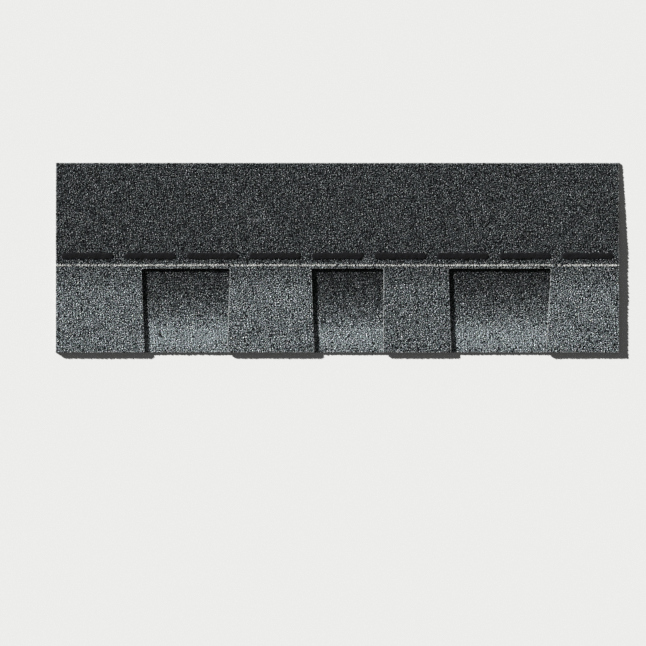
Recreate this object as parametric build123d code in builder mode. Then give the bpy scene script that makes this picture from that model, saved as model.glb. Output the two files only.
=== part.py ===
from build123d import *
import os

# One laminated asphalt shingle, lying face up on a level floor, in millimetres.
# X runs along the shingle, Y from the butt edge up to the top of the headlap, Z up through the plies.
# The origin is on the floor, under the middle of the shingle.

# Overall size of a metric laminated shingle
SHINGLE_LENGTH = 1000.0
SHINGLE_HEIGHT = 337.0
EXPOSURE = 143.0            # the part of the height that weather reaches once the shingle is laid

# Sheet
SHEET_THICKNESS = 2.5       # upper ply, granules included
BACKER_THICKNESS = 2.5      # lower ply
ADHESIVE_THICKNESS = 0.4

# Along the butt edge, from the left end. The last tooth runs on to the right end.
FIRST_TOOTH = 158.0
FIRST_CUT_OUT = 145.5
SECOND_TOOTH = 156.0
SECOND_CUT_OUT = 121.5
THIRD_TOOTH = 121.5
THIRD_CUT_OUT = 167.0

# How much wider a cut-out is at its head than at the butt edge, on its left and on its right side
FIRST_CUT_OUT_LEFT_SPLAY = 5.7
FIRST_CUT_OUT_RIGHT_SPLAY = 5.7
SECOND_CUT_OUT_LEFT_SPLAY = 5.7
SECOND_CUT_OUT_RIGHT_SPLAY = 0.6
THIRD_CUT_OUT_LEFT_SPLAY = 5.2
THIRD_CUT_OUT_RIGHT_SPLAY = 9.4

CUT_OUT_OVERRUN = 6.0       # the cut-outs end this far above the exposure, under the next course
COMMON_BOND = 32.0          # the two plies overlap this far above the cut-outs, where the nails go
HEAD_CORNER_RADIUS = 3.0    # inner corners, at the head of each cut-out
TIP_CORNER_RADIUS = 1.5     # outer corners, at the tips of the teeth

# Above the backer strip the single ply sags to the floor
SAG_START = 12.0            # from the top of the backer strip to the corner that the bend rounds
SAG_RADIUS = 1000.0

# Adhesive between the plies, in bands along X
ADHESIVE_SETBACK = 6.0      # from every edge of the upper ply
BOND_BAND_WIDTH = 8.0       # the two bands above the cut-outs
TOOTH_BAND_WIDTH = 12.0     # the bands behind the teeth
TIP_BAND_START = 12.0       # from the butt edge to the first band behind the teeth
MIDDLE_BAND_START = 76.0    # from the butt edge to the second one

# Sealant dashes on the face
DASH_LENGTH = 92.0
DASH_SPACE = 19.0
DASH_WIDTH = 13.0
DASH_HEIGHT = 0.9
DASH_END_RADIUS = 4.0
DASH_SOFTENING = 0.35       # the rounding of the upper edges
DASH_END_MARGIN = 5.0       # the least distance from a dash to an end of the shingle
DASHES_ABOVE_CUT_OUTS = 16.0

# Clear film on the back of the headlap
FILM_WIDTH = 45.0
FILM_THICKNESS = 0.1
FILM_ABOVE_BACKER = 26.0

cut_out_depth = EXPOSURE + CUT_OUT_OVERRUN
backer_height = cut_out_depth + COMMON_BOND
sheet_base = BACKER_THICKNESS + ADHESIVE_THICKNESS
sheet_face = sheet_base + SHEET_THICKNESS
sag_corner = backer_height + SAG_START

# Each cut-out: the tooth before it, its own width at the butt edge, and its splays
cut_outs = (
    (FIRST_TOOTH, FIRST_CUT_OUT, FIRST_CUT_OUT_LEFT_SPLAY, FIRST_CUT_OUT_RIGHT_SPLAY),
    (SECOND_TOOTH, SECOND_CUT_OUT, SECOND_CUT_OUT_LEFT_SPLAY, SECOND_CUT_OUT_RIGHT_SPLAY),
    (THIRD_TOOTH, THIRD_CUT_OUT, THIRD_CUT_OUT_LEFT_SPLAY, THIRD_CUT_OUT_RIGHT_SPLAY),
)

# Plan sketches count x from the left end and y from the butt edge. Sections count y the same way, and z upward.
left_butt_corner = Vector(-SHINGLE_LENGTH / 2, -SHINGLE_HEIGHT / 2, 0)
plan = Plane(origin=left_butt_corner)
section = Plane(origin=left_butt_corner, x_dir=(0, 1, 0), z_dir=(1, 0, 0))


def sag_line(height):
    """The line of a sheet that lies flat on the backer strip and slopes from there to the floor."""
    return FilletPolyline(
        (0, sheet_base + height), (sag_corner, sheet_base + height), (SHINGLE_HEIGHT, height), radius=SAG_RADIUS
    )


def underside(y):
    """Height of the upper ply's underside on its straight slope, above the bend."""
    return sheet_base * (SHINGLE_HEIGHT - y) / (SHINGLE_HEIGHT - sag_corner)


def band(start, width):
    """One band along the whole shingle, from `start` above the butt edge."""
    with Locations((0, start)):
        Rectangle(SHINGLE_LENGTH, width, align=(Align.MIN, Align.MIN))


# Outline of the upper ply: the random teeth are what its cut-outs leave
with BuildSketch() as toothed_outline:
    band(0, SHINGLE_HEIGHT)
    butt_x = 0
    for tooth, width, left_splay, right_splay in cut_outs:
        butt_x += tooth
        with BuildSketch(mode=Mode.SUBTRACT):
            with BuildLine():
                Polyline(
                    (butt_x, 0),
                    (butt_x + width, 0),
                    (butt_x + width + right_splay, cut_out_depth),
                    (butt_x - left_splay, cut_out_depth),
                    close=True,
                )
            make_face()
        butt_x += width
    butt_corners, head_corners = toothed_outline.vertices().group_by(Axis.Y)[:2]
    fillet(head_corners, HEAD_CORNER_RADIUS)
    fillet(butt_corners.sort_by(Axis.X)[1:-1], TIP_CORNER_RADIUS)

with BuildPart() as dragon_tooth_sheet:
    with BuildSketch(section):
        with BuildLine():
            under = sag_line(0)
            face = sag_line(SHEET_THICKNESS)
            Line(under @ 0, face @ 0)
            Line(under @ 1, face @ 1)
        make_face()
    extrude(amount=SHINGLE_LENGTH)
    with BuildSketch(plan):
        add(toothed_outline.sketch)
    extrude(amount=sheet_face, mode=Mode.INTERSECT)
dragon_tooth_sheet.part.label = "dragon_tooth_sheet"

with BuildPart() as backer_strip:
    with BuildSketch(plan):
        band(0, backer_height)
    extrude(amount=BACKER_THICKNESS)
backer_strip.part.label = "backer_strip"

# The bands stop short of every edge of the upper ply, so none shows in a cut-out
with BuildPart() as laminating_adhesive:
    with BuildSketch(plan.offset(BACKER_THICKNESS)):
        add(toothed_outline.sketch)
        offset(amount=-ADHESIVE_SETBACK, kind=Kind.INTERSECTION)
        with BuildSketch(mode=Mode.INTERSECT):
            band(TIP_BAND_START, TOOTH_BAND_WIDTH)
            band(MIDDLE_BAND_START, TOOTH_BAND_WIDTH)
            band(cut_out_depth + ADHESIVE_SETBACK, BOND_BAND_WIDTH)
            band(backer_height - BOND_BAND_WIDTH, BOND_BAND_WIDTH)
    extrude(amount=ADHESIVE_THICKNESS)
laminating_adhesive.part.label = "laminating_adhesive"

dash_pitch = DASH_LENGTH + DASH_SPACE
dash_room = SHINGLE_LENGTH - 2 * DASH_END_MARGIN
dash_count = int((dash_room + DASH_SPACE) // dash_pitch)
dash_line_y = cut_out_depth + DASHES_ABOVE_CUT_OUTS + DASH_WIDTH / 2

with BuildPart() as self_seal_strip:
    with BuildSketch(plan.offset(sheet_face)):
        with Locations((SHINGLE_LENGTH / 2, dash_line_y)):
            with GridLocations(dash_pitch, 0, dash_count, 1):
                RectangleRounded(DASH_LENGTH, DASH_WIDTH, DASH_END_RADIUS)
    extrude(amount=DASH_HEIGHT)
    fillet(self_seal_strip.edges().group_by(Axis.Z)[-1], DASH_SOFTENING)
self_seal_strip.part.label = "self_seal_strip"

film_start = backer_height + FILM_ABOVE_BACKER
film_end = film_start + FILM_WIDTH

with BuildPart() as release_film:
    with BuildSketch(section):
        with BuildLine():
            Polyline(
                (film_start, underside(film_start)),
                (film_end, underside(film_end)),
                (film_end, underside(film_end) - FILM_THICKNESS),
                (film_start, underside(film_start) - FILM_THICKNESS),
                close=True,
            )
        make_face()
    extrude(amount=SHINGLE_LENGTH)
release_film.part.label = "release_film"

os.makedirs("parts", exist_ok=True)
for piece in (dragon_tooth_sheet, backer_strip, laminating_adhesive, self_seal_strip, release_film):
    export_step(piece.part, f"parts/{piece.part.label}.step")
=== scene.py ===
import math

import bpy
import numpy as np
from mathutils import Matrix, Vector


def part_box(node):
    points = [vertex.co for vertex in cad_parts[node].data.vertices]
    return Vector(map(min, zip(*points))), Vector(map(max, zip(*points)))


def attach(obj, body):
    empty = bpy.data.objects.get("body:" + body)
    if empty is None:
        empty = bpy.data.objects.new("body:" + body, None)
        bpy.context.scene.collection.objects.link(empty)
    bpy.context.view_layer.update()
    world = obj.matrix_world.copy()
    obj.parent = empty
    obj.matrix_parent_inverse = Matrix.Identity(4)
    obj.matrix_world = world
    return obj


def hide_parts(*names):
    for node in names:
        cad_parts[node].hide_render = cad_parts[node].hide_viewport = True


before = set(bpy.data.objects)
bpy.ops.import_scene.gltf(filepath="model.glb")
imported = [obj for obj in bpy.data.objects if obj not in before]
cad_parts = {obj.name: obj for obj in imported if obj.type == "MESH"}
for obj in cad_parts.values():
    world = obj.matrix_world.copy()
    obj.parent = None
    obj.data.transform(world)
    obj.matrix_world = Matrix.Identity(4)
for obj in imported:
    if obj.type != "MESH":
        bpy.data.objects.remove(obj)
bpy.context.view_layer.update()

MM = 0.001

# The photograph's frame: its side and scale, and where it shows the shingle's middle and butt edge
PHOTO_SIDE_PX = 646
METRES_PER_PX = 1.776 * MM
SHINGLE_MIDDLE_PX = 337.5
BUTT_EDGE_PX = 352.6
LENS_MM = 200.0
SENSOR_MM = 36.0

# Light: a low sun from the upper left, as in the photograph, and a weak even sky
SUN_ELEVATION = math.radians(14)
SUN_AZIMUTH = math.radians(34)      # from the left, towards the top of the picture
SUN_WIDTH = math.radians(1.4)
SUN_SHARE = 0.92                    # of the light on a level surface
FLOOR_COLOUR = (0.84, 0.84, 0.83)
BACKDROP_COLOUR = (0.86, 0.86, 0.85)

# Granules, on a shaken hexagonal lattice. Heights are counted from the CAD face.
PITCH = 1.69 * MM
LATTICE_TURN = math.radians(14)     # so that no row of granules runs along a cut edge
SHAKE = 0.33                        # of the pitch
VALLEY_SHAKE = 0.09                 # of the pitch
GRANULE_LAYER = 0.95 * MM           # from the CAD face down to the asphalt core
VALLEY = -0.48 * MM
VALLEY_SPREAD = 0.09 * MM
PEAK = -0.07 * MM
PEAK_SPREAD = 0.16 * MM
PEAK_SHIFT = 0.18                   # sideways, of the pitch
WAVE_HEIGHT = 0.04 * MM             # slow unevenness of the sheet
WAVE_LENGTH = 55 * MM
RIPPLE_HEIGHT = 0.16 * MM           # lumps a few granules wide
RIPPLE_LENGTH = 4.8 * MM
LEAST_COVER = 0.05 * MM             # of granules over the asphalt core
EDGE_CLEARANCE = 0.30               # a granule's centre stays this far inside the cut, of the pitch
EDGE_RAGGEDNESS = 0.14 * MM
EDGE_DROP = 0.44 * MM               # the cut breaks the rim down by up to this much
RIM_STONE_AND_HIGHLIGHT_SHARE = (0.7, 1.4)          # of a granule at the rim, before it is held under 1
# The upper ply's granules are made in bands along X: some over the teeth, and some above them
TOOTH_BANDS = 3
HEADLAP_BANDS = 4
PIT_SHARE = 0.022                   # of the granules, each with two neighbours, fell out and left a dark pit
PIT_DEPTH = 0.34 * MM
HIDDEN_RIM = 2.4 * MM               # how far the backer's granules run on under the teeth
COVERED_FACE = -0.12 * MM           # the pressed granules under the teeth
COVERED_INSET = 2.0 * MM            # from a cut-out's sides and head to that pressed layer
MAP_GAP = 1.5 * MM                  # between the rows of a piece's map
MAP_BACK = 0.02                     # share of the map's height for the hidden back

# Granule kinds: linear grey, share of the blend at tone 0, how fast that share grows as the blend gets
# lighter and as it gets darker, and how far the kind leans to blue-green
# The darker kinds lean further to blue-green: partly the granules' own tint, partly a painted cool cast of
# skylit shade
GRANULE_KINDS = (
    (0.004, 0.285, -2.6, 0.50, 2.2),
    (0.030, 0.135, -1.0, 0.36, 1.8),
    (0.100, 0.165, 0.4, 0.18, 1.5),
    (0.210, 0.180, 1.2, -0.12, 1.2),
    (0.440, 0.170, 1.6, -0.70, 0.8),
    (0.700, 0.065, 1.8, -1.40, 0.5),
)
DARKER_FADE = 1.1                   # a darker blend is also of darker granules
BLUE_GREEN = (-0.092, 0.022, 0.049)  # what a lean of 1 adds to each channel, as a share of it
LEAN_WITH_TONE = 0.38               # a lighter blend leans further
SHADE_VARIATION = 0.20
TINT_VARIATION = 0.035
NEIGHBOUR_CONTRAST = 0.8            # how much a granule tends to differ from those round it
PAINT_COLOUR = (0.62, 0.63, 0.60)
RIM_STONE_AND_HIGHLIGHT_COLOUR = (0.345, 0.360, 0.356)  # pale stone at the rim where the cut crushes a granule, made paler still as a painted highlight along the cut edges
RIM_STONE_AND_HIGHLIGHT_SHADES = (0.7, 1.2)
ASPHALT_COLOUR = (0.012, 0.012, 0.013)
MAT_HEIGHT = 0.42                   # of the glass mat in the cut edge, as a share of the asphalt core

# Tones, where above 0 is lighter: of each tooth and cut-out from the left, and in pairs with the height in mm
# above the butt edge at which they hold
TOOTH_TONES = (0.06, 0.04, -0.09, 0.04)
CUT_OUT_TONES = (0.05, -0.08, -0.03)
# Teeth darker in the last 8 mm to the butt edge, and darker towards the cut-out heads; that upper darkening
# is partly painted shade, as cast by an overlapping course above
EXPOSURE_TONES = ((0, -0.08), (8, 0), (108, 0), (122, -0.12), (140, -0.30))
HEADLAP_TONE = -0.62
HEADLAP_START = 150 * MM
HEADLAP_BLEND = 14 * MM
HEADLAP_MIXING = 0.25               # of granules over that height, as a share of it
BACKER_TONES = (
    (0, 0.14), (18, 0.48), (35, 0.54), (50, 0.20), (70, -0.16), (90, -0.35), (115, -0.63), (149, -0.98)
)
MOTTLE = 0.045
MOTTLE_LENGTH = 24 * MM

# Painted nail line
NAIL_LINE_ABOVE_BUTT = 155 * MM
NAIL_LINE_WIDTH = 3.2 * MM
NAIL_LINE_WANDER = 0.25 * MM
NAIL_LINE_COVER = 0.86
PAINT_SHADES = (0.75, 1.05)

# Sealant beads, in place of the plain dashes
BEAD_STEP = 0.8 * MM
BEAD_ROWS = 19
BEAD_SINK = 0.35 * MM               # into the granules
BEAD_EDGE_WANDER = 0.55 * MM
BEAD_EDGE_LENGTH = 9 * MM
BEAD_PEBBLE = 0.08 * MM             # the granules print through
PEBBLE_LENGTH = 2.4 * MM
LUMP_LENGTH = 14 * MM
BEAD_INSET = 0.6 * MM

LONG_SIDE = 60 * MM                 # the sides of teeth and cut-outs are longer than this
TOUCHING = 0.05 * MM
FLOOR_REACH = 6.0

rng = np.random.default_rng(21)


def face_loop(node):
    """The outline of a CAD sheet's upper face: points in order, counterclockwise from above."""
    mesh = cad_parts[node].data
    places = [tuple(round(c, 6) for c in v.co) for v in mesh.vertices]
    edges = set()
    for polygon in mesh.polygons:
        if polygon.normal.z > 0.9:
            corners = [places[i] for i in polygon.vertices]
            edges.update(zip(corners, corners[1:] + corners[:1]))
    after = {a: b for a, b in edges if (b, a) not in edges}
    loop = [min(after)]
    while after[loop[-1]] != loop[0]:
        loop.append(after[loop[-1]])
    return np.array(loop)


def sides(loop):
    """Where each side of a closed loop starts and ends, seen from above."""
    return loop[:, :2], np.roll(loop[:, :2], -1, 0)


sheet_loop = face_loop("dragon_tooth_sheet")
backer_loop = face_loop("backer_strip")
sheet_low, sheet_high = (np.array(corner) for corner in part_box("dragon_tooth_sheet"))
backer_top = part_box("backer_strip")[1][2]
butt_y = sheet_low[1]

# The head of each cut-out is a long side along X, well inside the sheet
side_starts, side_ends = sides(sheet_loop)
is_head = np.abs(side_ends - side_starts)[:, 0] > LONG_SIDE
is_head &= (side_starts[:, 1] > butt_y + LONG_SIDE) & (side_starts[:, 1] < sheet_high[1] - MM)
cut_out_heads = (side_starts[is_head] + side_ends[is_head]) / 2
cut_out_heads = cut_out_heads[np.argsort(cut_out_heads[:, 0])]
head_y = cut_out_heads[:, 1].max()
in_exposure = np.maximum(side_starts[:, 1], side_ends[:, 1]) < head_y + MM
on_butt_edge = np.maximum(side_starts[:, 1], side_ends[:, 1]) < butt_y + 0.01 * MM
cut_out_starts = side_starts[in_exposure & ~on_butt_edge]
cut_out_ends = side_ends[in_exposure & ~on_butt_edge]
slope_order = np.argsort(sheet_loop[:, 1])


def sheet_face(y):
    """Height of the upper ply's face, which sags to the floor above the backer strip."""
    return np.interp(y, sheet_loop[slope_order, 1], sheet_loop[slope_order, 2])


def backer_face(y):
    return np.full(np.shape(y), backer_top)


def nearest_on(points, starts, ends):
    """The nearest place to each point on any of these segments, and how far it is."""
    best = np.full(len(points), np.inf)
    nearest = np.zeros((len(points), 2))
    for a, b in zip(starts, ends):
        along = np.clip((points - a) @ (b - a) / ((b - a) @ (b - a)), 0, 1)
        place = a + along[:, None] * (b - a)
        distance = np.hypot(*(points - place).T)
        closer = distance < best
        best[closer] = distance[closer]
        nearest[closer] = place[closer]
    return nearest, best


def inside(points, loop):
    """Whether each point lies inside the closed loop."""
    crossings = np.zeros(len(points), int)
    for (ax, ay), (bx, by) in zip(*sides(loop)):
        spans = (ay > points[:, 1]) != (by > points[:, 1])
        if ay != by:
            crossings += spans & (points[:, 0] < ax + (points[:, 1] - ay) * (bx - ax) / (by - ay))
    return crossings % 2 == 1


def waves(points, length, count=14):
    """A slow random pattern of about unit height, the same on every run."""
    angles = rng.uniform(0, 2 * math.pi, count)
    numbers = 2 * math.pi / (length * rng.uniform(0.6, 1.6, count))
    phases = rng.uniform(0, 2 * math.pi, count)
    along = np.outer(points[:, 0], np.cos(angles)) + np.outer(points[:, 1], np.sin(angles))
    return np.cos(along * numbers + phases).sum(1) * math.sqrt(2 / count)


class Lattice:
    """Granules over a box: a centre each, and six valley corners, every one shared by three granules.

    Corner k of a granule lies between its neighbours k and k + 1, counterclockwise from the right.
    """

    def __init__(self, low, high):
        cosine, sine = math.cos(LATTICE_TURN), math.sin(LATTICE_TURN)
        turn = np.array([[cosine, sine], [-sine, cosine]])
        row_pitch = PITCH * math.sqrt(3) / 2
        length, height = np.abs(turn) @ (high - low)
        columns = int(length / PITCH) + 7
        rows = int(height / row_pitch) + 7
        row, column = np.mgrid[0:rows, 0:columns]
        odd = row % 2
        x = (column - columns / 2 + odd / 2) * PITCH
        y = (row - rows / 2) * row_pitch
        self.centres = np.stack([x, y], -1).reshape(-1, 2)
        self.centres += rng.uniform(-SHAKE, SHAKE, self.centres.shape) * PITCH
        self.centres = (low + high) / 2 + self.centres @ turn
        self.count = len(self.centres)

        def at(up, right):
            return ((row + up) % rows * columns + (column + right) % columns).ravel()

        self.neighbours = np.stack(
            [at(0, 1), at(1, odd), at(1, odd - 1), at(0, -1), at(-1, odd - 1), at(-1, odd)], 1
        )
        upper = (self.centres + self.centres[at(0, 1)] + self.centres[at(1, odd)]) / 3
        lower = (self.centres + self.centres[at(0, 1)] + self.centres[at(-1, odd)]) / 3
        self.valleys = np.concatenate([upper, lower])
        self.valleys += rng.uniform(-VALLEY_SHAKE, VALLEY_SHAKE, self.valleys.shape) * PITCH
        below = self.count
        left_ones = [below + at(1, odd - 1), at(0, -1), below + at(0, -1)]
        self.corners = np.stack([at(0, 0), *left_ones, at(-1, odd - 1), below + at(0, 0)], 1)
        inner = (row > 1) & (row < rows - 2) & (column > 1) & (column < columns - 2)
        self.inner = inner.ravel()

    def within(self, loop):
        """Granules whose centres stand clear of the cut edge, inside it."""
        distance = nearest_on(self.centres, *sides(loop))[1]
        return inside(self.centres, loop) & (distance > EDGE_CLEARANCE * PITCH) & self.inner

    def cut_to(self, loop, cells):
        """The valleys, those round these granules moved onto the cut edge, and which ones those are."""
        places = self.valleys.copy()
        sharers = np.bincount(self.corners[cells].ravel(), minlength=len(places))
        rim = (sharers > 0) & (sharers < 3)
        cut = nearest_on(places[rim], *sides(loop))[0]
        inward = np.where(inside(places[rim], loop)[:, None], 1, -1) * (places[rim] - cut)
        inward /= np.maximum(np.hypot(*inward.T), 1e-9)[:, None]
        places[rim] = cut + inward * rng.uniform(0, EDGE_RAGGEDNESS, (rim.sum(), 1))
        return places, rim

    def rim_sides(self, cells):
        """Each side that one of these granules shares with no other: its ends and its granule."""
        held = np.flatnonzero(cells)
        lone = ~cells[self.neighbours[held]]
        granule, side = np.nonzero(np.roll(lone, -1, 1))
        corners = self.corners[held]
        return corners[granule, side], corners[granule, (side + 1) % 6], granule


lattice = Lattice(sheet_low[:2], sheet_high[:2])
above_butt = lattice.centres[:, 1] - butt_y
granule_places = np.concatenate([lattice.centres, lattice.valleys])
unevenness = waves(granule_places, WAVE_LENGTH) * WAVE_HEIGHT
unevenness += waves(granule_places, RIPPLE_LENGTH) * RIPPLE_HEIGHT

sheet_cells = lattice.within(sheet_loop)
backer_cells = lattice.within(backer_loop)
near_cut_out = nearest_on(lattice.centres, cut_out_starts, cut_out_ends)[1] < HIDDEN_RIM
shown_cells = backer_cells & (near_cut_out | ~inside(lattice.centres, sheet_loop))


def lost_granules():
    """Which granules are missing: three that meet at one corner, at each pit."""
    lost = np.zeros(lattice.count, bool)
    pit = np.flatnonzero(rng.random(lattice.count) < PIT_SHARE)
    side = rng.integers(0, 6, len(pit))
    lost[pit] = True
    lost[lattice.neighbours[pit, side]] = True
    lost[lattice.neighbours[pit, (side + 1) % 6]] = True
    return lost


lost = lost_granules()


def differing_ranks():
    """A random rank for each granule, from 0 to 1, that tends to be unlike its neighbours' ranks."""
    draw = rng.normal(size=lattice.count)
    draw -= NEIGHBOUR_CONTRAST * draw[lattice.neighbours].mean(1)
    ranks = np.empty(lattice.count)
    ranks[np.argsort(draw)] = (np.arange(lattice.count) + 0.5) / lattice.count
    return ranks


def blend(tones):
    """A granule kind for each granule, darker or lighter by its tone, as linear colours."""
    greys, shares, lighter, darker, leans = np.array(GRANULE_KINDS).T
    weights = shares * np.exp(np.outer(tones.clip(min=0), lighter) + np.outer((-tones).clip(min=0), darker))
    bounds = np.cumsum(weights, 1) / weights.sum(1, keepdims=True)
    kind = (differing_ranks()[:, None] > bounds[:, :-1]).sum(1)
    shades = rng.normal(0, SHADE_VARIATION, (lattice.count, 1))
    tints = rng.normal(0, TINT_VARIATION, (lattice.count, 3))
    # The lean is strongest in the darkest granules: partly their own tint, partly painted cool shade colour
    blue_green = np.outer(leans[kind] * (1 + LEAN_WITH_TONE * tones), BLUE_GREEN)
    fades = DARKER_FADE * tones[:, None].clip(max=0)
    return greys[kind][:, None] * (1 + blue_green) * np.exp(shades + tints + fades)


def sheet_tones():
    """Each tooth has its own tone up to the headlap, which is darker."""
    tooth = np.searchsorted(cut_out_heads[:, 0], lattice.centres[:, 0])
    headlap = (above_butt - HEADLAP_START) / HEADLAP_BLEND
    headlap = (headlap + rng.normal(0, HEADLAP_MIXING, lattice.count)).clip(0, 1)
    # The exposure tones paint shade near the cut-out heads, as from an overlapping course, and darken the
    # teeth towards the butt edge
    exposed = np.array(TOOTH_TONES)[tooth] + toned(EXPOSURE_TONES)
    return exposed * (1 - headlap) + HEADLAP_TONE * headlap


def toned(steps):
    """Each granule's tone by its height above the butt edge."""
    heights, tones = np.array(steps).T
    return np.interp(above_butt, heights * MM, tones)


def paint_nail_line(colours):
    off_line = np.abs(above_butt - NAIL_LINE_ABOVE_BUTT) + rng.normal(0, NAIL_LINE_WANDER, lattice.count)
    painted = (off_line < NAIL_LINE_WIDTH / 2) & (rng.random(lattice.count) < NAIL_LINE_COVER)
    colours[painted] = PAINT_COLOUR * rng.uniform(*PAINT_SHADES, (painted.sum(), 1))


def joined_up(starts, ends):
    """Closed loops of corners, from the sides that make them up."""
    after = dict(zip(starts.tolist(), ends.tolist()))
    loops = []
    while after:
        loop = [min(after)]
        while after[loop[-1]] != loop[0]:
            loop.append(after[loop[-1]])
        for corner in loop:
            del after[corner]
        loops.append(loop)
    return loops


def outward(starts, ends):
    """Unit vectors to the right of each side."""
    along = ends - starts
    along /= np.maximum(np.hypot(*along.T), 1e-9)[:, None]
    return np.stack([along[:, 1], -along[:, 0]], 1)


def folded_map(mesh, facet_xy, facet_x, wall_xy, wall_x, back_xy):
    """The piece's own map: its length folded into rows, walls laid flat round them, and a strip of backs."""
    low, high = facet_xy.reshape(-1, 2).min(0), facet_xy.reshape(-1, 2).max(0)
    length, height = high - low
    rows = max(1, round(math.sqrt(length / height)))
    row_length = length / rows

    def placed(xy, x):
        row = ((x - low[0]) // row_length).clip(0, rows - 1)[:, None]
        across = (xy[..., 0] - low[0] - row * row_length + MAP_GAP) / (row_length + 2 * MAP_GAP)
        up = (xy[..., 1] - low[1] + MAP_GAP) / (height + 2 * MAP_GAP) + row
        return np.stack([across, up / rows * (1 - MAP_BACK)], -1).reshape(-1, 2)

    back = (back_xy - low) / (high - low) * (1, 0.8 * MAP_BACK) + (0, 1 - 0.9 * MAP_BACK)
    uv = np.concatenate([placed(facet_xy, facet_x), placed(wall_xy, wall_x), back]).clip(0, 1)
    mesh.uv_layers.new(name="OFBake").uv.foreach_set("vector", uv.astype(np.float32).ravel())


def granule_layer(name, cells, valleys, rim, face, colours):
    """A closed layer of these granules: six facets each, cut walls, and a flat back on the asphalt core."""
    held = np.flatnonzero(cells)
    used, corners = np.unique(lattice.corners[held], return_inverse=True)
    corners = corners.reshape(-1, 6)
    corner_xy = valleys[used]
    corner_z = face(corner_xy[:, 1]) + VALLEY + unevenness[lattice.count + used]
    corner_z += rng.uniform(-VALLEY_SPREAD, VALLEY_SPREAD, len(used))
    corner_z -= rng.uniform(0, EDGE_DROP, len(used)) * rim[used]
    corner_z = np.maximum(corner_z, face(corner_xy[:, 1]) - GRANULE_LAYER + LEAST_COVER)
    peak_xy = corner_xy[corners].mean(1) + rng.uniform(-PEAK_SHIFT, PEAK_SHIFT, (len(held), 2)) * PITCH
    peak_xy = peak_xy.clip(sheet_low[:2], sheet_high[:2])
    peak_z = face(peak_xy[:, 1]) + PEAK + unevenness[held] - PIT_DEPTH * lost[held]
    peak_z += rng.uniform(-PEAK_SPREAD, PEAK_SPREAD, len(held))

    wall_from, wall_to, wall_granule = lattice.rim_sides(cells)
    wall_from, wall_to = np.searchsorted(used, wall_from), np.searchsorted(used, wall_to)
    ring = np.unique(wall_from)
    below = np.zeros(len(used), int)
    below[ring] = len(used) + len(held) + np.arange(len(ring))
    ring_z = face(corner_xy[ring, 1]) - GRANULE_LAYER
    vertices = np.concatenate(
        [
            np.column_stack([corner_xy, corner_z]),
            np.column_stack([peak_xy, peak_z]),
            np.column_stack([corner_xy[ring], ring_z]),
        ]
    )
    peaks = len(used) + np.arange(len(held))
    facets = np.stack([np.repeat(peaks, 6), corners.ravel(), np.roll(corners, -1, 1).ravel()], 1)
    walls = np.stack([wall_from, below[wall_from], below[wall_to], wall_to], 1)
    backs = [below[loop][::-1].tolist() for loop in joined_up(wall_from, wall_to)]
    mesh = bpy.data.meshes.new(name)
    mesh.from_pydata(vertices.tolist(), [], facets.tolist() + walls.tolist() + backs)

    # Rim facets take a paler stone colour: partly stone bared by the cut's crushing, partly a painted
    # highlight along the cut edges
    on_rim = rim[used][corners].astype(float)
    stone_and_highlight = (on_rim + np.roll(on_rim, -1, 1)) / 2 * rng.uniform(*RIM_STONE_AND_HIGHLIGHT_SHARE, (len(held), 1))
    stone_and_highlight = stone_and_highlight.reshape(-1, 1).clip(0, 1)
    stone_and_highlight_colours = RIM_STONE_AND_HIGHLIGHT_COLOUR * rng.uniform(*RIM_STONE_AND_HIGHLIGHT_SHADES, stone_and_highlight.shape)
    facet_tints = np.repeat(colours[held], 6, 0) * (1 - stone_and_highlight) + stone_and_highlight_colours * stone_and_highlight
    back_tints = np.tile(ASPHALT_COLOUR, (len(backs), 1))
    tints = np.concatenate([facet_tints, colours[held][wall_granule], back_tints])
    tints = np.column_stack([tints, np.ones(len(tints))]).astype(np.float32)
    mesh.attributes.new("granule", "FLOAT_COLOR", "FACE").data.foreach_set("color", tints.ravel())
    crown = np.zeros(len(vertices), np.float32)
    crown[peaks] = np.where(lost[held], -1, 1)
    mesh.attributes.new("crown", "FLOAT", "POINT").data.foreach_set("value", crown)

    flat = vertices[:, :2]
    wall_xy = flat[walls]
    lean = outward(flat[wall_from], flat[wall_to]) * GRANULE_LAYER
    wall_xy[:, 1:3] += lean[:, None]
    centre_x = lattice.centres[held, 0]
    back_xy = flat[np.concatenate(backs)]
    folded_map(mesh, flat[facets], np.repeat(centre_x, 6), wall_xy, centre_x[wall_granule], back_xy)
    return mesh


def covered_outline():
    """The outline of what the upper ply hides of the backer strip: a comb, with a prong under each tooth."""
    (left, bottom), (right, top) = (corner[:2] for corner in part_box("backer_strip"))
    long_sides = np.abs(side_ends - side_starts)[:, 1] > LONG_SIDE
    in_cut_out = long_sides & in_exposure & (np.abs(side_starts[:, 0]) < right - MM)
    slants = []
    for (ax, ay), (bx, by) in zip(side_starts[in_cut_out], side_ends[in_cut_out]):
        lean = (bx - ax) / (by - ay)
        slants.append((ax + (bottom - ay) * lean, ax + (head_y - ay) * lean))
    slants.sort()
    head = head_y + COVERED_INSET
    comb = [(left, top), (left, bottom)]
    for (left_low, left_high), (right_low, right_high) in zip(slants[::2], slants[1::2]):
        comb += [(left_low - COVERED_INSET, bottom), (left_high - COVERED_INSET, head)]
        comb += [(right_high + COVERED_INSET, head), (right_low + COVERED_INSET, bottom)]
    return comb + [(right, bottom), (right, top)]


def covered_layer(name):
    """The backer strip's granules where the upper ply hides them, pressed flat."""
    outline = covered_outline()
    count = len(outline)
    vertices = [(x, y, backer_top + z) for z in (-GRANULE_LAYER, COVERED_FACE) for x, y in outline]
    below = list(range(count))
    above = list(range(count, 2 * count))
    walls = [[below[k - 1], below[k], above[k], above[k - 1]] for k in range(count)]
    mesh = bpy.data.meshes.new(name)
    mesh.from_pydata(vertices, [], walls + [below[::-1], above])
    return mesh


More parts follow.
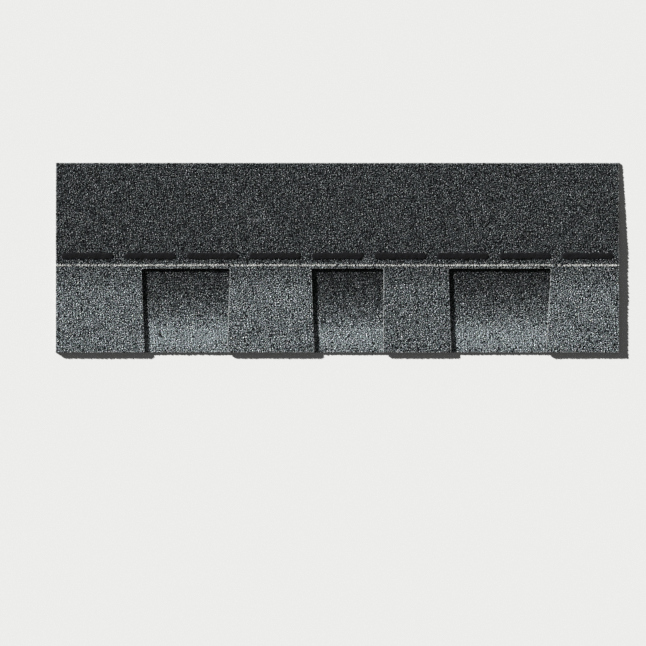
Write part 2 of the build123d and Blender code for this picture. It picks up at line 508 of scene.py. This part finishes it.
class Surface:
    """A material's node tree, with a short way to add a node, set its inputs and link them."""

    def __init__(self, name):
        self.material = bpy.data.materials.new(name)
        self.material.use_nodes = True
        self.tree = self.material.node_tree
        self.shader = self.tree.nodes["Principled BSDF"]

    def add(self, kind, inputs=(), **settings):
        node = self.tree.nodes.new(kind)
        for name, value in settings.items():
            setattr(node, name, value)
        self.set(node, inputs)
        return node.outputs

    def set(self, node, inputs):
        for name, value in dict(inputs).items():
            if isinstance(value, bpy.types.NodeSocket):
                self.tree.links.new(value, node.inputs[name])
            else:
                node.inputs[name].default_value = value

    def place(self):
        return self.add("ShaderNodeTexCoord")["Object"]

    def noise(self, place, scale, detail):
        return self.add("ShaderNodeTexNoise", {"Vector": place, "Scale": scale, "Detail": detail})["Fac"]

    def spread(self, value, source, target):
        """The value with one range stretched onto another, and held inside it."""
        ends = {"From Min": source[0], "From Max": source[1], "To Min": target[0], "To Max": target[1]}
        return self.add("ShaderNodeMapRange", {"Value": value, **ends})[0]

    def mix(self, factor, first, second):
        """Two colours mixed: the first where the factor is 0, the second where it is 1."""
        factor_in, first_in, second_in, colour_out = 0, 6, 7, 2
        inputs = {factor_in: factor, first_in: first, second_in: second}
        return self.add("ShaderNodeMix", inputs, data_type="RGBA")[colour_out]

    def work_out(self, operation, *values):
        return self.add("ShaderNodeMath", dict(enumerate(values)), operation=operation)[0]

    def bump(self, height, strength, distance):
        inputs = {"Height": height, "Strength": strength, "Distance": distance}
        return self.add("ShaderNodeBump", inputs)["Normal"]

    def finish(self, **inputs):
        self.set(self.shader, {name.replace("_", " "): value for name, value in inputs.items()})
        return self.material


def granules_material():
    """Each granule in its own colour with fine rock grain, and asphalt in the seams between granules."""
    s = Surface("granules")
    place = s.place()
    colour = s.add("ShaderNodeAttribute", attribute_name="granule")["Color"]
    crown = s.add("ShaderNodeAttribute", attribute_name="crown")["Fac"]
    grain = s.noise(place, 2600.0, 2.0)
    shade = s.spread(grain, (0.3, 0.7), (0.82, 1.18))
    rock = s.add("ShaderNodeVectorMath", {0: colour, "Scale": shade}, operation="SCALE")[0]
    cover = s.work_out("ADD", crown, s.noise(place, 1100.0, 1.0))
    cover = s.spread(cover, (0.50, 0.66), (0, 1))
    return s.finish(
        Base_Color=s.mix(cover, (*ASPHALT_COLOUR, 1), rock),
        Roughness=s.spread(cover, (0, 1), (0.6, 0.85)),
        Normal=s.bump(grain, 0.35, 0.12 * MM),
        Specular_IOR_Level=0.03,
    )


def cut_asphalt_material():
    """The cut edge: black filled asphalt, torn a little, with the glass mat as a thin paler line."""
    s = Surface("cut_asphalt")
    place = s.place()
    height = s.add("ShaderNodeAttribute", attribute_name="height")["Fac"]
    tear = s.noise(place, 900.0, 4.0)
    fibres = s.spread(s.noise(place, 4200.0, 1.0), (0.42, 0.60), (0, 1))
    off_mat = s.work_out("ABSOLUTE", s.work_out("SUBTRACT", height, MAT_HEIGHT))
    in_mat = s.work_out("MULTIPLY", s.spread(off_mat, (0.05, 0.10), (1, 0)), fibres)
    asphalt = s.spread(tear, (0.3, 0.7), (0.006, 0.034))
    return s.finish(
        Base_Color=s.mix(in_mat, asphalt, (0.090, 0.086, 0.078, 1)),
        Roughness=s.spread(tear, (0.3, 0.7), (0.45, 0.75)),
        Normal=s.bump(tear, 0.8, 0.5 * MM),
    )


def sanded_back_material():
    """The back: asphalt dusted with fine sand, in faint streaks along the sheet."""
    s = Surface("sanded_back")
    place = s.place()
    sand = s.add("ShaderNodeTexVoronoi", {"Vector": place, "Scale": 1700.0})
    grain = s.add("ShaderNodeSeparateColor", {"Color": sand["Color"]})[0]
    streak_place = s.add("ShaderNodeVectorMath", {0: place, 1: (8.0, 160.0, 1.0)}, operation="MULTIPLY")[0]
    streaks = s.noise(streak_place, 1.0, 3.0)
    patches = s.noise(place, 45.0, 4.0)
    dusting = s.work_out("ADD", s.work_out("ADD", grain, patches), streaks)
    dusting = s.spread(dusting, (1.2, 2.0), (0, 1))
    return s.finish(
        Base_Color=s.mix(dusting, (0.016, 0.016, 0.017, 1), (0.20, 0.19, 0.175, 1)),
        Roughness=s.spread(grain, (0, 1), (0.62, 0.85)),
        Normal=s.bump(sand["Distance"], 0.5, 0.2 * MM),
    )


def sealant_material():
    """Smooth black asphalt sealant with a dull shine."""
    s = Surface("sealant")
    place = s.place()
    film = s.noise(place, 260.0, 3.0)
    return s.finish(
        Base_Color=s.mix(s.noise(place, 900.0, 2.0), (0.004, 0.004, 0.005, 1), (0.014, 0.014, 0.015, 1)),
        Roughness=s.spread(film, (0.3, 0.7), (0.54, 0.66)),
        Normal=s.bump(s.noise(place, 420.0, 1.0), 0.35, 0.5 * MM),
        Specular_IOR_Level=0.05,
    )


def film_material():
    """Thin clear polyester, slightly wrinkled, over the black back."""
    s = Surface("release_film")
    wrinkles = s.noise(s.place(), 70.0, 3.0)
    return s.finish(
        Base_Color=s.mix(wrinkles, (0.05, 0.05, 0.053, 1), (0.13, 0.13, 0.135, 1)),
        Roughness=s.spread(wrinkles, (0.3, 0.7), (0.10, 0.22)),
        Normal=s.bump(wrinkles, 0.4, 1.2 * MM),
        Coat_Weight=0.6,
    )


granules = granules_material()
cut_asphalt = cut_asphalt_material()
sanded_back = sanded_back_material()
sealant = sealant_material()


def dressed(name, mesh, node, slot, *materials):
    """A new piece that rides on the shingle in place of a CAD node."""
    piece = bpy.data.objects.new(name, mesh)
    bpy.context.scene.collection.objects.link(piece)
    for material in materials:
        mesh.materials.append(material)
    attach(piece, "root")
    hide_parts(node)
    return piece


def make_core(name, node, face):
    """A ply without its granules: the CAD solid with its face lowered to the asphalt."""
    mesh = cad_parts[node].data.copy()
    mesh.materials.clear()
    places = np.empty(len(mesh.vertices) * 3)
    mesh.vertices.foreach_get("co", places)
    places = places.reshape(-1, 3)
    on_face = np.abs(places[:, 2] - face(places[:, 1])) < TOUCHING
    places[on_face, 2] -= GRANULE_LAYER
    mesh.vertices.foreach_set("co", places.ravel())
    height = mesh.attributes.new("height", "FLOAT", "POINT")
    height.data.foreach_set("value", on_face.astype(np.float32))
    mesh.update()
    dressed(name, mesh, node, "asphalt", cut_asphalt, sanded_back)
    for polygon in mesh.polygons:
        polygon.use_smooth = False
        polygon.material_index = int(polygon.normal.z < -0.9)


def make_upper_ply():
    make_core("sheet_core", "dragon_tooth_sheet", sheet_face)
    mottle = MOTTLE * waves(lattice.centres, MOTTLE_LENGTH)
    colours = blend(sheet_tones() + mottle)
    paint_nail_line(colours)
    valleys, rim = lattice.cut_to(sheet_loop, sheet_cells)
    tooth_edges = np.linspace(butt_y, head_y, TOOTH_BANDS + 1)[1:]
    headlap_edges = np.linspace(head_y, sheet_high[1], HEADLAP_BANDS + 1)[1:-1]
    band_of = np.searchsorted([*tooth_edges, *headlap_edges], lattice.centres[:, 1])
    for band in range(TOOTH_BANDS + HEADLAP_BANDS):
        name = f"sheet_granules_{band + 1}"
        mesh = granule_layer(name, sheet_cells & (band_of == band), valleys, rim, sheet_face, colours)
        dressed(name, mesh, "dragon_tooth_sheet", "granule_sheet", granules)


def make_lower_ply():
    make_core("backer_core", "backer_strip", backer_face)
    mottle = MOTTLE * waves(lattice.centres, MOTTLE_LENGTH)
    cut_out = np.abs(lattice.centres[:, :1] - cut_out_heads[:, 0]).argmin(1)
    colours = blend(toned(BACKER_TONES) + np.array(CUT_OUT_TONES)[cut_out] + mottle)
    valleys, rim = lattice.cut_to(backer_loop, backer_cells)
    mesh = granule_layer("backer_granules", shown_cells, valleys, rim, backer_face, colours)
    dressed("backer_granules", mesh, "backer_strip", "granule_backer", granules)
    covered = covered_layer("backer_covered_face")
    dressed("backer_covered_face", covered, "backer_strip", "granule_backer", cut_asphalt)


def dash_boxes():
    """The lowest and highest corner of each CAD dash of sealant."""
    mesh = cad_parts["self_seal_strip"].data
    low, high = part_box("self_seal_strip")
    spans = []
    for face_x in sorted(sorted(mesh.vertices[i].co.x for i in face.vertices) for face in mesh.polygons):
        if spans and face_x[0] < spans[-1][1] + MM:
            spans[-1][1] = max(spans[-1][1], face_x[-1])
        else:
            spans.append([face_x[0], face_x[-1]])
    return [(np.array((a, *low[1:])), np.array((b, *high[1:]))) for a, b in spans]


def bead(low, high):
    """One sealant bead inside a dash's box: a domed, pebbled face with wandering edges on a flat base."""
    length, width, height = high - low
    columns = int(length / BEAD_STEP)
    along = np.linspace(-1, 1, columns)[:, None]
    across = np.linspace(-1, 1, BEAD_ROWS)[None, :]
    from_end = (1 - np.abs(along)) * length / 2
    taper = np.sqrt(1 - (1 - (from_end / (width / 2)).clip(0, 1)) ** 2).clip(0.12, 1)
    x = low[0] + length / 2 + along * length / 2 + 0 * across
    line = np.column_stack([x[:, 0], np.zeros(columns)])
    wander = [waves(line, BEAD_EDGE_LENGTH)[:, None] * BEAD_EDGE_WANDER for edge in range(2)]
    edge = np.where(across < 0, wander[0], wander[1]).clip(-2 * BEAD_INSET, BEAD_INSET)
    y = (low[1] + high[1]) / 2 + across * taper * (width / 2 - BEAD_INSET + edge)
    dome = (1 - np.abs(across) ** 3) ** 0.6 * taper**0.5
    skin = np.column_stack([x.ravel(), y.ravel()])
    pebbles = (waves(skin, PEBBLE_LENGTH) + waves(skin, LUMP_LENGTH)).reshape(x.shape) * BEAD_PEBBLE
    z = low[2] - BEAD_SINK / 2 + (height - 3 * BEAD_PEBBLE + pebbles) * dome
    z = np.minimum(z, high[2])
    top = np.stack([x, y, z], -1).reshape(-1, 3)
    base = top.copy()
    base[:, 2] = low[2] - BEAD_SINK
    return top, base, columns


def make_sealant():
    """All beads as one piece: a grid on top, a strip below, and walls round both."""
    vertices, polygons = [], []
    for low, high in dash_boxes():
        top, base, columns = bead(low, high)
        first = len(vertices)
        vertices += top.tolist()
        number = first + np.arange(len(top)).reshape(columns, BEAD_ROWS)
        a, b, c, d = number[:-1, :-1], number[1:, :-1], number[1:, 1:], number[:-1, 1:]
        polygons += np.stack([a, b, c, d], -1).reshape(-1, 4).tolist()
        ring = np.concatenate([number[:-1, 0], number[-1, :-1], number[:0:-1, -1], number[0, :0:-1]])
        below = len(vertices) + np.arange(len(ring))
        vertices += base[ring - first].tolist()
        polygons += np.stack([ring, below, np.roll(below, -1), np.roll(ring, -1)], 1).tolist()
        polygons.append(below[::-1].tolist())
    mesh = bpy.data.meshes.new("sealant_beads")
    mesh.from_pydata(vertices, [], polygons)
    mesh.shade_smooth()
    dressed("sealant_beads", mesh, "self_seal_strip", "sealant", sealant)


def finish_cad_node(node, material):
    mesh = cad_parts[node].data
    mesh.materials.clear()
    mesh.materials.append(material)


make_upper_ply()
make_lower_ply()
make_sealant()
finish_cad_node("laminating_adhesive", sealant)
finish_cad_node("release_film", film_material())


def make_stage():
    """A plain floor, just clear of the shingle's back."""
    mesh = bpy.data.meshes.new("floor")
    corners = [(x * FLOOR_REACH, y * FLOOR_REACH, 0) for x, y in ((-1, -1), (1, -1), (1, 1), (-1, 1))]
    mesh.from_pydata(corners, [], [(0, 1, 2, 3)])
    colour = (*FLOOR_COLOUR, 1)
    mesh.materials.append(Surface("floor").finish(Base_Color=colour, Roughness=0.9, Specular_IOR_Level=0.1))
    floor = bpy.data.objects.new("floor", mesh)
    floor.location.z = -TOUCHING
    bpy.context.scene.collection.objects.link(floor)


def make_light():
    """The sun, an even sky, and a pale backdrop in place of that sky for the camera, gloss and clear film."""
    sun = bpy.data.lights.new("sun", "SUN")
    sun.energy = SUN_SHARE * math.pi / math.sin(SUN_ELEVATION)
    sun.angle = SUN_WIDTH
    lamp = bpy.data.objects.new("sun", sun)
    level = math.cos(SUN_ELEVATION)
    towards = Vector((-math.cos(SUN_AZIMUTH) * level, math.sin(SUN_AZIMUTH) * level, math.sin(SUN_ELEVATION)))
    lamp.rotation_mode = "QUATERNION"
    lamp.rotation_quaternion = towards.to_track_quat("Z", "Y")
    bpy.context.scene.collection.objects.link(lamp)
    world = bpy.data.worlds.new("sky")
    world.use_nodes = True
    tree = world.node_tree
    background = tree.nodes["Background"]
    background.inputs["Color"].default_value = (*([1 - SUN_SHARE] * 3), 1)
    backdrop = tree.nodes.new("ShaderNodeBackground")
    backdrop.inputs["Color"].default_value = (*BACKDROP_COLOUR, 1)
    rays = tree.nodes.new("ShaderNodeLightPath").outputs
    mix = tree.nodes.new("ShaderNodeMixShader")
    seen = rays["Is Camera Ray"]
    for kind in ("Is Glossy Ray", "Is Transmission Ray"):
        either = tree.nodes.new("ShaderNodeMath")
        either.operation = "MAXIMUM"
        tree.links.new(seen, either.inputs[0])
        tree.links.new(rays[kind], either.inputs[1])
        seen = either.outputs[0]
    tree.links.new(seen, mix.inputs["Fac"])
    tree.links.new(background.outputs[0], mix.inputs[1])
    tree.links.new(backdrop.outputs[0], mix.inputs[2])
    tree.links.new(mix.outputs[0], tree.nodes["World Output"].inputs["Surface"])
    bpy.context.scene.world = world


def make_camera():
    """Straight above, with a long lens, at the photograph's scale and framing."""
    camera = bpy.data.cameras.new("camera")
    camera.lens = LENS_MM
    camera.sensor_width = SENSOR_MM
    holder = bpy.data.objects.new("camera", camera)
    holder.location = (
        (PHOTO_SIDE_PX / 2 - SHINGLE_MIDDLE_PX) * METRES_PER_PX,
        butt_y + (BUTT_EDGE_PX - PHOTO_SIDE_PX / 2) * METRES_PER_PX,
        PHOTO_SIDE_PX * METRES_PER_PX * LENS_MM / SENSOR_MM,
    )
    bpy.context.scene.collection.objects.link(holder)
    bpy.context.scene.camera = holder


make_stage()
make_light()
make_camera()
bpy.context.scene.view_settings.view_transform = "Standard"
# Denoising would smear the granules, and this scene has hardly any noise to take out
bpy.context.scene.cycles.use_denoising = False
